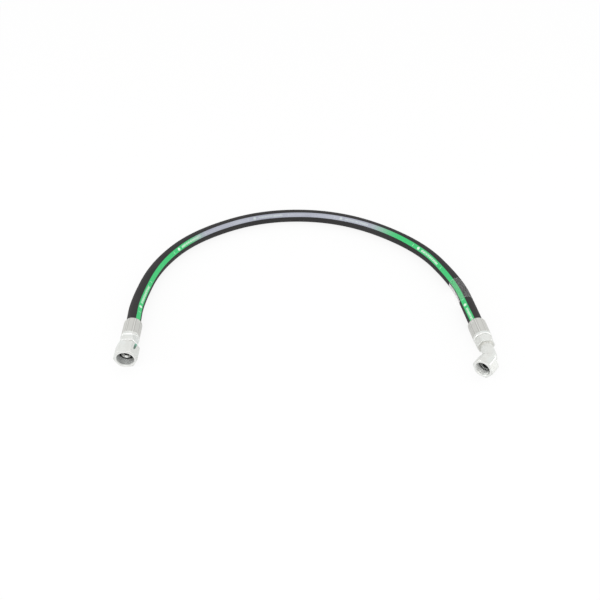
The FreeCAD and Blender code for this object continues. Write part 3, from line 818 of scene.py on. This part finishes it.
left_middle, right_middle = LEFT_NOSE_FRONT - LEFT_RING_PLACE, RIGHT_NOSE_FRONT - RIGHT_RING_PLACE
o_rings = [
    make_o_ring("o_ring_left", "left_o_ring", left_place, left_middle, 8.4, 1.3),
    make_o_ring("o_ring_right", "right_o_ring", elbow_place, right_middle, 7.2, 1.0),
]

# %% [markdown]
# Materials are written as sums. Wire wraps one socket, and arithmetic on it adds Math nodes, so a
# mask reads like a formula. Graph adds any other node: what it is, its settings, and its sockets.
# Colours are blended with Mix nodes, because a Math node would turn them grey.

# %% Sockets that do arithmetic


def operator(operation):
    """A method that puts a Math node on its value and the others."""
    return lambda value, *others: value.math(operation, *others)


class Wire:
    """A value that varies over a surface. Arithmetic on it adds Math nodes."""

    def __init__(self, graph, socket):
        self.graph, self.socket = graph, socket

    def math(self, operation, *others):
        """A Math node whose first value is this one."""
        values = dict(enumerate((self, *others)))
        return self.graph.node("Math", values, operation=operation)

    __add__ = __radd__ = operator("ADD")
    __mul__ = __rmul__ = operator("MULTIPLY")
    __sub__ = operator("SUBTRACT")
    __truediv__ = operator("DIVIDE")
    __mod__ = operator("FLOORED_MODULO")
    __gt__ = operator("GREATER_THAN")
    __lt__ = operator("LESS_THAN")
    __abs__ = operator("ABSOLUTE")

    def __rsub__(self, other):
        return self.graph.node("Math", {0: other, 1: self}, operation="SUBTRACT")

    def vector_math(self, operation, other):
        """A Vector Math node whose first vector is this one."""
        return self.graph.node("VectorMath", {0: self, 1: other}, operation=operation)

    def part(self, axis):
        """One part of a vector."""
        return self.graph.node("SeparateXYZ", {0: self}, output=axis)

    def step(self, low, high):
        """A mask that rises smoothly from 0 at low to 1 at high."""
        sockets = {"Value": self, "From Min": low, "From Max": high}
        return self.graph.node("MapRange", sockets, interpolation_type="SMOOTHSTEP")

    def blend(self, first, second):
        """A colour between two, by this mask from 0 to 1."""
        settings = {"output": 2, "data_type": "RGBA", "clamp_factor": True}
        return self.graph.node("Mix", {0: self, 6: first, 7: second}, **settings)

    def noise(self, scale, detail=3.0, roughness=0.6):
        """Soft patches from 0 to 1. A scale of three numbers pulls them out along an axis."""
        if isinstance(scale, tuple):
            return self.vector_math("MULTIPLY", scale).noise(1.0, detail, roughness)
        sockets = {"Vector": self, "Scale": scale, "Detail": detail, "Roughness": roughness}
        return self.graph.node("TexNoise", sockets)

    def bump(self, distance):
        """A normal that follows this height, whose full range stands for that many metres."""
        return self.graph.node("Bump", {"Height": self, "Distance": distance})


class Graph:
    """The nodes of one material or world."""

    def __init__(self, owner):
        owner.use_nodes = True
        self.tree = owner.node_tree
        self.tree.nodes.clear()

    def node(self, kind, sockets=None, output=0, **settings):
        """Adds a node: its settings first, then its sockets' values or links. Gives one output."""
        made = self.tree.nodes.new("ShaderNode" + kind)
        for name, value in settings.items():
            setattr(made, name, value)
        for key, value in (sockets or {}).items():
            target = made.inputs[key]
            if isinstance(value, Wire):
                self.tree.links.new(value.socket, target)
            else:
                target.default_value = (*value, 1) if target.type == "RGBA" else value
        return Wire(self, made.outputs[output]) if len(made.outputs) else None

    def coordinates(self, name):
        """A Texture Coordinate output by its name."""
        return self.node("TexCoord", output=name)

    def unrolled(self):
        """The UV map, and its two parts: metres along a piece and metres round it."""
        uv = self.coordinates("UV")
        return uv, uv.part(0), uv.part(1)

    def mark(self, name):
        """A mark on a piece's points, or 0 on a piece that carries none."""
        return self.node("Attribute", output="Fac", attribute_name=name)

    def finish(self, **sockets):
        """A Principled surface with these sockets, wired to the output."""
        named = {name.replace("_", " "): value for name, value in sockets.items()}
        surface = self.node("BsdfPrincipled", named)
        self.node("OutputMaterial", {"Surface": surface})


def off_middle(cells):
    """How far a value is from the middle of its cell, where each cell is 1 wide."""
    return abs(cells % 1.0 - 0.5)


def new_material(name):
    """A named material and its empty graph."""
    material = bpy.data.materials.new(name)
    return material, Graph(material)


def dress(material, *pieces):
    """Gives pieces their material in place of any other."""
    for piece in pieces:
        piece.data.materials.clear()
        piece.data.materials.append(material)
    print(material.name, "is on", ", ".join(piece.name for piece in pieces))


print("shader words: Wire for numbers, Graph for nodes")

# %% [markdown]
# The cover cures wrapped in wet cloth and keeps the cloth's weave. So its rubber gets two sets of
# crossing ridges at their true size of half a millimetre, with a dusty bloom in soft patches and a
# few scuffs that are paler and smoother.

# %% Cover rubber
WEAVE, WEAVE_SLANT = 0.00055, 0.35

cover_rubber, graph = new_material("cover_rubber")
uv, along, around = graph.unrolled()
spot = graph.coordinates("Object")
threads_one = off_middle((along + around * WEAVE_SLANT) / WEAVE)
threads_two = off_middle((around - along * WEAVE_SLANT) / WEAVE)
weave = threads_one.math("MAXIMUM", threads_two)
patches = spot.noise(14, 4)
grain = spot.noise(1600, 2)
scuffs = uv.noise((30, 160, 1), 5, 0.7).step(0.62, 0.78)
dusty = patches.step(0.3, 0.75)
bloom = dusty.blend((0.0225, 0.0212, 0.0217), (0.033, 0.0311, 0.0318))
graph.finish(
    Base_Color=(scuffs * 0.5).blend(bloom, (0.048, 0.046, 0.045)),
    Roughness=0.66 + patches * 0.12 - scuffs * 0.1,
    Specular_IOR_Level=0.28,
    Normal=(weave * 0.5 + grain * 0.5).bump(0.00006),
)
dress(cover_rubber, hose_pieces["hose_cover"])

# %% [markdown]
# The layline is green. A long light field in the middle of the hose is a painted reflection of
# the light on its glossy film. Its words are left out: plain dashes and a dot stand at their
# spacing. The print is a film, glossier than the rubber round it and worn at its edges.

# %% Layline print
PRINT_PERIOD, DOT_PLACE, DOT_RADIUS = 0.1537, 0.054, 0.0027
ROW_START, ROW_END, ROW_HEIGHT, ROW_RAGGED = 0.0072, 0.05, 0.002, 0.0005
TICKS, TICK_WIDTH, TICK_HEIGHT = (0.06, 0.1417), 0.0006, 0.0021
DASH_PITCH = 0.0023
# The green is the print's own colour. The second colour is a painted reflection of the light.
PRINT_GREEN, REFLECTION_TINT = (0.046, 0.515, 0.158), (0.355, 0.368, 0.438)
PRINT_WHITE = (0.8, 0.93, 0.82)

layline_print, graph = new_material("layline_print")
uv, along, across = graph.unrolled()
into_print = (along - DOT_PLACE + 0.004) % PRINT_PERIOD - 0.004
dot_far = (into_print * into_print + across * across).math("SQRT")
dot = dot_far.step(DOT_RADIUS, DOT_RADIUS - 0.0005)
dashes = along / DASH_PITCH
chance = graph.node("TexWhiteNoise", {"W": dashes.math("FLOOR")}, noise_dimensions="1D")
inside = (dashes % 1) < (0.48 + chance * 0.4)
tall = abs(across - (chance - 0.5) * ROW_RAGGED) < (ROW_HEIGHT - chance * ROW_RAGGED)
row = inside * tall * (into_print > ROW_START) * (into_print < ROW_END)
short = abs(across) < TICK_HEIGHT
ticks = sum((abs(into_print - place) < TICK_WIDTH) * short for place in TICKS)
marks = (row * 0.85 + dot + ticks * 0.45).math("MINIMUM", 1)
# Painted reflection: a long light field in the middle of the hose, where the film reflects light.
painted_reflection = along.step(0.224, 0.271) * along.step(0.626, 0.564)
patches = uv.noise((26, 160, 1), 4)
long_patches = uv.noise((17, 40, 1), 2, 0.5).step(0.3, 0.7)
rubbed = uv.noise((400, 900, 1), 5, 0.7).step(0.6, 0.75)
# A lighter line along the middle of the painted reflection.
reflection_line = abs(across).step(0.00055, 0.0001)
edge_wear = abs(across).step(0.0034, 0.0039)
green = patches.blend(PRINT_GREEN, (0.064, 0.565, 0.2))
# The colours of the painted reflection.
reflection_colour = long_patches.blend(REFLECTION_TINT, (0.428, 0.448, 0.512))
reflection_colour = (reflection_line * 0.3).blend(reflection_colour, (0.66, 0.68, 0.76))
field = painted_reflection.blend(green, reflection_colour)
# The white marks are dimmer inside the painted reflection.
printed = (marks * (0.85 - painted_reflection * 0.5)).blend(field, PRINT_WHITE)
graph.finish(
    Base_Color=(edge_wear * 0.35 + rubbed * 0.08).blend(printed, (0.06, 0.075, 0.07)),
    Roughness=0.46 + patches * 0.16 + rubbed * 0.2,
    Specular_IOR_Level=0.25,
    Normal=(marks * 0.6 + patches * 0.4).bump(0.00003),
)
dress(layline_print, hose_layline)

# %% [markdown]
# The label is a clear film with a white writing field on the inside of the arc. So one film has
# two looks: nearly see-through, or white. Its cut ends are milky, because a cut edge scatters light.

# %% Label film
label_film, graph = new_material("label_film")
uv, along, around = graph.unrolled()
angle = around / COVER_RADIUS
field = angle.step(1.3, 1.46) * angle.step(4.3, 4.15)
off_centre, half = abs(along - sum(LABEL_SPAN) / 2), (LABEL_SPAN[1] - LABEL_SPAN[0]) / 2
cut_ends = off_centre.step(half - 0.0011, half - 0.0004) * (off_centre < half + 0.0003)
creases = uv.noise((260, 120, 1), 4, 0.65)
milky = creases.step(0.35, 0.7)
clear = milky.blend((0.5, 0.5, 0.5), (0.66, 0.66, 0.66))
alpha = 0.05 + milky * 0.06 + field * 0.74 + cut_ends * 0.35
graph.finish(
    Base_Color=field.blend(clear, (0.8, 0.77, 0.785)),
    Alpha=alpha.math("MINIMUM", 0.95),
    Roughness=0.3 + creases * 0.2,
    Specular_IOR_Level=0.35,
    Normal=creases.bump(0.00025),
)
dress(label_film, hose_label)

# %% [markdown]
# Zinc plating is bright but not mirror-like. The lathe's fine rings show under it, and passivation
# leaves it faintly cloudy. The rings follow the outline in the UV map, so they run in circles on a
# face too. Marks say where the metal is polished and gets a painted highlight, and where shade is
# painted on it in the dark. Edges are lighter, partly worn and partly a painted highlight. The left
# nut carries a dab of green paint.

# %% Zinc plating
PLATE_LIGHT, PLATE_WARM = (0.765, 0.778, 0.754), (0.715, 0.718, 0.69)
PLATE_COOL, PLATE_BRIGHT = (0.735, 0.775, 0.757), (0.93, 0.93, 0.92)
DAB_PLACE, DAB_LENGTH, DAB_WIDTH, DAB_SLANT = (-0.2384, -0.0066, 0.024), 0.009, 0.0012, 0.12


def paint_dab(spot):
    """Where a dab of paint lies, from 0 to 1, and its colour, thick at one end."""
    away = spot.vector_math("SUBTRACT", DAB_PLACE)
    sideways, lengthwise, upwards = (away.part(axis) for axis in range(3))
    sideways = (sideways - lengthwise * DAB_SLANT) / DAB_WIDTH
    lengthwise, upwards = lengthwise / DAB_LENGTH, upwards / DAB_LENGTH
    far = (sideways * sideways + lengthwise * lengthwise + upwards * upwards).math("SQRT")
    ragged = far + (spot.noise(900, 2, 0.55) - 0.5) * 0.5
    thick = lengthwise.step(0.35, -0.3)
    return ragged.step(1, 0.8), thick.blend((0.1, 0.36, 0.25), (0.035, 0.105, 0.072))


def zinc_plating(name, dabbed=False):
    """Plated steel with turning rings, cloudy passivation, painted highlights and painted shade."""
    material, graph = new_material(name)
    uv, spot = graph.coordinates("UV"), graph.coordinates("Object")
    rings = uv.noise((5200, 6, 1), 2, 0.5)
    cloud = spot.noise(110, 4)
    tint = spot.noise(60, 3, 0.5)
    specks = spot.noise(900).step(0.66, 0.76)
    # Convex edges get lighter: partly wear from handling, partly a painted highlight.
    worn_and_highlit_edges = graph.node("NewGeometry", output="Pointiness").step(0.53, 0.6)
    recess, polish = graph.mark("recess"), graph.mark("polish")
    plate = cloud.step(0.3, 0.7).blend(PLATE_LIGHT, PLATE_WARM)
    plate = (tint.step(0.45, 0.75) * 0.6).blend(plate, PLATE_COOL)
    plate = (specks * 0.3).blend(plate, (0.5, 0.49, 0.46))
    # Painted highlight: marked parts and edges blend towards PLATE_BRIGHT.
    plate = (worn_and_highlit_edges * 0.6).math("MAXIMUM", polish).blend(plate, PLATE_BRIGHT)
    # Painted shade: inside the nuts and on the nipple's nose the plating blends towards dark grey.
    plate = recess.blend(plate, (0.26, 0.27, 0.265))
    metal = 1 - specks * 0.3
    rough = 0.34 + cloud * 0.14 + specks * 0.2 - worn_and_highlit_edges * 0.06 - polish * 0.12 + recess * 0.1
    if dabbed:
        paint, green = paint_dab(spot)
        plate = (paint * 0.92).blend(plate, green)
        metal = metal * (1 - paint)
        rough = rough + paint * 0.15
    graph.finish(
        Base_Color=plate,
        Metallic=metal,
        Roughness=rough,
        Normal=(rings * 0.75 + cloud * 0.25).bump(0.000012),
    )
    return material


dress(zinc_plating("plated_steel"), insert_left, insert_right, elbow_right, nipple_right, nut_right)
dress(zinc_plating("plated_steel_dabbed", dabbed=True), nut_left)

# %% [markdown]
# Drawing and crimping leave a ferrule duller, with faint streaks along its length: a noise pulled
# out along the axis. Between two dies the metal is squeezed up into a raised line. A painted
# highlight lies along it, with painted shade on each side.

# %% Ferrule steel
LAND_WIDTH = math.tau * FERRULE_RADIUS / DIE_SIDES * MM

ferrule_steel, graph = new_material("ferrule_steel")
uv, _, around = graph.unrolled()
spot = graph.coordinates("Object")
streaks = uv.noise((14, 900, 1), 4, 0.65)
cloud = spot.noise(130, 4)
scratches = uv.noise((60, 3200, 1), 3, 0.7).step(0.66, 0.74)
specks = spot.noise(1000).step(0.67, 0.76)
# Painted highlight on the raised line between two dies, with painted shade on each side.
land = off_middle(around / LAND_WIDTH)
ridge_highlight = land.step(0.445, 0.48)
crease_shade = land.step(0.25, 0.36) - land.step(0.43, 0.47)
steel = streaks.step(0.25, 0.75).blend((0.56, 0.56, 0.535), (0.665, 0.665, 0.637))
steel = (cloud.step(0.35, 0.75) * 0.5).blend(steel, (0.6, 0.605, 0.578))
steel = (specks * 0.25 + scratches * 0.25).blend(steel, (0.38, 0.375, 0.355))
steel = (crease_shade * 0.58).blend(steel, (0.43, 0.43, 0.405))
steel = (ridge_highlight * 0.8).blend(steel, (0.8, 0.8, 0.775))
graph.finish(
    Base_Color=steel,
    Metallic=1 - specks * 0.25,
    Roughness=0.36 + cloud * 0.14 + streaks * 0.06,
    Normal=(streaks * 0.7 + cloud * 0.3).bump(0.00003),
)
dress(ferrule_steel, *ferrules)

# %% [markdown]
# The last finishes are small or out of sight, and still get their own look: braze under plating,
# moulded seal rubber, drawn spring wire, the smooth rubber of the inner tube, and the brass-coated
# wire of the braids, crossing at 54 degrees.

# %% Braze
braze_plate, graph = new_material("braze_plate")
lumps = graph.coordinates("Object").noise(700, 4)
graph.finish(
    Base_Color=lumps.step(0.35, 0.7).blend((0.6, 0.6, 0.57), (0.52, 0.515, 0.475)),
    Metallic=1 - lumps * 0.15,
    Roughness=0.4 + lumps * 0.2,
    Normal=lumps.bump(0.00012),
)
dress(braze_plate, braze_bead)

# %% Seal rubber, spring wire and inner rubber


def mottled(name, map_name, scale, colours, rough, height, metal=0):
    """A finish whose colour, roughness and height all follow one soft noise."""
    material, graph = new_material(name)
    mottle = graph.coordinates(map_name).noise(scale)
    graph.finish(
        Base_Color=mottle.blend(*colours),
        Metallic=metal,
        Roughness=rough[0] + mottle * rough[1],
        Normal=mottle.bump(height),
    )
    return material


SEAL_BLACK = (0.01, 0.01, 0.011), (0.022, 0.022, 0.023)
TUBE_BLACK = (0.012, 0.012, 0.013), (0.024, 0.024, 0.025)
WIRE_GREY = (0.46, 0.46, 0.46), (0.62, 0.62, 0.61)
DRAWN_SCALE, MOULDED_SCALE = (3000, 300, 3000), (120, 700, 1)
seal_rubber = mottled("seal_rubber", "Object", 500, SEAL_BLACK, (0.42, 0.2), 0.00003)
spring_wire = mottled("spring_wire", "Object", DRAWN_SCALE, WIRE_GREY, (0.28, 0.18), 0.00001, 1)
tube_rubber = mottled("tube_rubber", "UV", MOULDED_SCALE, TUBE_BLACK, (0.45, 0.2), 0.00003)
dress(seal_rubber, *o_rings)
dress(spring_wire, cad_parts["left_thrust_wire"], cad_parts["right_thrust_wire"])
dress(tube_rubber, hose_pieces["hose_tube"], hose_pieces["hose_interlayer"])

# %% Braid wire
BRAID_LEAN, WIRE_GAUGE, WIRES_OVER = math.tan(math.radians(54)), 0.0006, 12

braid_wire, graph = new_material("braid_wire")
uv, along, around = graph.unrolled()
one_way = off_middle((along * BRAID_LEAN + around) / WIRE_GAUGE)
other_way = off_middle((along * BRAID_LEAN - around) / WIRE_GAUGE)
over = (along / (WIRE_GAUGE * WIRES_OVER) % 1) > 0.5
wires = one_way * over + other_way * (1 - over)
tarnish = uv.noise(900)
graph.finish(
    Base_Color=tarnish.blend((0.6, 0.5, 0.3), (0.42, 0.34, 0.2)),
    Metallic=1,
    Roughness=0.34 + tarnish * 0.2,
    Normal=(1 - wires).bump(0.0003),
)
dress(braid_wire, hose_pieces["hose_inner_braid"], hose_pieces["hose_outer_braid"])

# %% [markdown]
# The photograph was taken on a white table in soft light, with only a faint shadow under the hose.
# The floor takes it. To the camera, and in reflections, most of its colour is plain white, so the
# table and the room behind it run together with no edge.

# %% Floor and backdrop
FLOOR_SIZE, FLOOR_SHADOW = 8.0, 0.13
WHITE = (1.0, 1.0, 1.0)


def seen_directly(graph):
    """1 where the camera, a reflection or a see-through ray looks, and 0 for the light itself."""
    rays = ("Is Camera Ray", "Is Glossy Ray", "Is Transmission Ray")
    camera_ray, *others = (graph.node("LightPath", output=ray) for ray in rays)
    for ray in others:
        camera_ray = camera_ray.math("MAXIMUM", ray)
    return camera_ray


floor_mesh = bpy.data.meshes.new("floor")
half = FLOOR_SIZE / 2
floor_corners = [(-half, -half, 0), (half, -half, 0), (half, half, 0), (-half, half, 0)]
floor_mesh.from_pydata(floor_corners, [], [(0, 1, 2, 3)])
floor = add_object("floor", floor_mesh)
floor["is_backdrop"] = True
floor_paper, graph = new_material("floor_paper")
paper = graph.node("BsdfDiffuse", {"Color": (0.965, 0.96, 0.958)})
white = graph.node("Emission", {"Color": WHITE, "Strength": 1.0})
sockets = {0: seen_directly(graph) * (1.0 - FLOOR_SHADOW), 1: paper, 2: white}
surface = graph.node("MixShader", sockets)
graph.node("OutputMaterial", {"Surface": surface})
dress(floor_paper, floor)

# %% [markdown]
# A white room gives most of the light. A lamp beside the photographer gives the nuts' rims a bright
# line and keeps their mouths from going black, and a weak, wide one behind the arc lightens the
# hose's outside. Two low lamps at the sides brighten the nuts' outer flats.

# %% Light
ROOM_LIGHT = 0.90
LAMPS = [
    ("front_lamp", (-0.3, -1.5, 1.7), (0.0, 0.1, 0.0), (1.8, 1.2), 7.5),
    ("back_lamp", (0.5, 1.5, 2.4), (0.0, 0.1, 0.0), (4.0, 2.6), 2.0),
    ("left_lamp", (-1.6, -0.1, 0.45), (-0.2, 0.0, 0.0), (1.2, 0.8), 4.2),
    ("right_lamp", (1.6, -0.1, 0.45), (0.2, 0.0, 0.0), (1.2, 0.8), 4.2),
]

world = bpy.data.worlds.new("white_room")
bpy.context.scene.world = world
graph = Graph(world)
strength = seen_directly(graph) * (1.0 - ROOM_LIGHT) + ROOM_LIGHT
background = graph.node("Background", {"Color": WHITE, "Strength": strength})
graph.node("OutputWorld", {"Surface": background})
for name, place, aim, (width, depth), power in LAMPS:
    data = bpy.data.lights.new(name, "AREA")
    data.shape = "RECTANGLE"
    data.size, data.size_y = width, depth
    data.energy = power
    lamp = add_object(name, data)
    lamp.location = place
    lamp.rotation_euler = (Vector(aim) - Vector(place)).to_track_quat("-Z", "Y").to_euler()
bpy.context.scene.view_settings.view_transform = "Standard"
print("light from a white room and", len(LAMPS), "soft lamps")

# %% [markdown]
# Last, the sizes are printed.

# %% Sizes
visual_box = [list(corner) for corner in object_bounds()]
print("visual box, metres:", rounded(visual_box))
